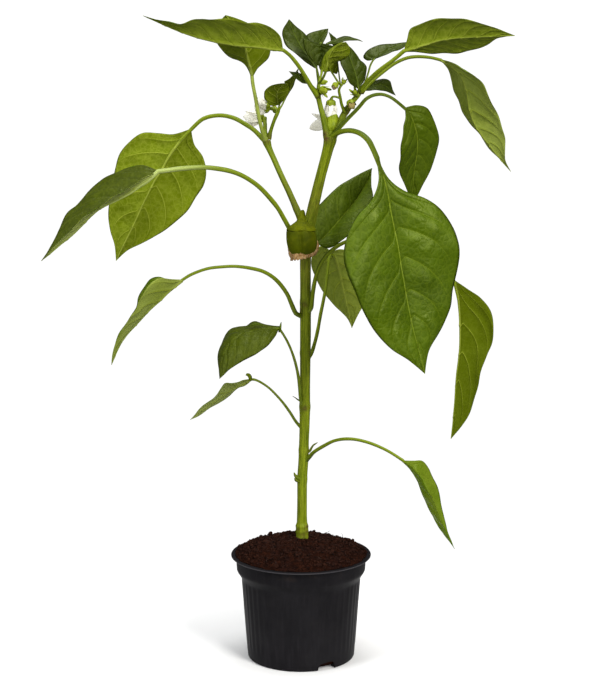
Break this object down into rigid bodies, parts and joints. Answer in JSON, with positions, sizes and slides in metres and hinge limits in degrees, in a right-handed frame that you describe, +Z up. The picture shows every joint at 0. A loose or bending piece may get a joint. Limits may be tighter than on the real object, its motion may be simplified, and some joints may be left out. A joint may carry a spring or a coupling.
{
  "type": "potted chilli pepper plant",
  "caption": "Young chilli pepper plant in a round black nursery pot: forked green stem, long-stalked pointed leaves, small white flowers and a young green fruit.",
  "frame": {"origin": "centre of the pot's flat underside", "axes": "+Z up along the pot's axis, +X to the right and -Y towards the viewer as the plant is pictured"},
  "size_m": [0.3879, 0.1618, 0.5456],
  "materials": {
    "pot_plastic": "satin charcoal black",
    "potting_soil": "crumbly dark peat with fibres",
    "stem_green": "smooth green, slightly waxy",
    "leaf_green": "glossy dark green above, paler and duller below",
    "calyx_green": "soft yellow-green",
    "petal_white": "thin matt white",
    "fruit_green": "waxy olive green",
    "withered_petal": "dry brown"
  },
  "bodies": {
    "root": {"branch_left": "stem_green", "branch_right": "stem_green", "bud_1": "calyx_green", "bud_2": "calyx_green", "bud_3": "calyx_green", "bud_4": "calyx_green", "bud_5": "calyx_green", "bud_6": "calyx_green", "bud_7": "calyx_green", "flower_1_calyx": "calyx_green", "flower_1_petals": "petal_white", "flower_2_calyx": "calyx_green", "flower_2_petals": "petal_white", "flower_3_calyx": "calyx_green", "flower_3_petals": "petal_white", "flower_4_calyx": "calyx_green", "flower_4_petals": "petal_white", "flower_stalk_right": "stem_green", "fruit_calyx": "calyx_green", "fruit_withered_petals": "withered_petal", "leaf_left_1": "leaf_green", "leaf_left_2": "leaf_green", "leaf_left_3": "leaf_green", "leaf_left_4": "leaf_green", "leaf_left_5": "leaf_green", "leaf_left_6": "leaf_green", "leaf_left_7": "leaf_green", "leaf_right_1": "leaf_green", "leaf_right_2": "leaf_green", "leaf_right_3": "leaf_green", "leaf_right_4": "leaf_green", "leaf_right_5": "leaf_green", "leaf_right_6": "leaf_green", "leaf_right_7": "leaf_green", "leaf_right_8": "leaf_green", "leaf_top_1": "leaf_green", "leaf_top_10": "leaf_green", "leaf_top_11": "leaf_green", "leaf_top_12": "leaf_green", "leaf_top_13": "leaf_green", "leaf_top_2": "leaf_green", "leaf_top_3": "leaf_green", "leaf_top_4": "leaf_green", "leaf_top_5": "leaf_green", "leaf_top_6": "leaf_green", "leaf_top_7": "leaf_green", "leaf_top_8": "leaf_green", "leaf_top_9": "leaf_green", "main_stem": "stem_green", "pot": "pot_plastic", "shoot_left": "stem_green", "shoot_right_back": "stem_green", "shoot_right_front": "stem_green", "side_bud_left": "stem_green", "side_shoot_right": "stem_green", "side_spike_left": "stem_green", "soil": "potting_soil", "young_fruit": "fruit_green"}
  },
  "joints": []
}
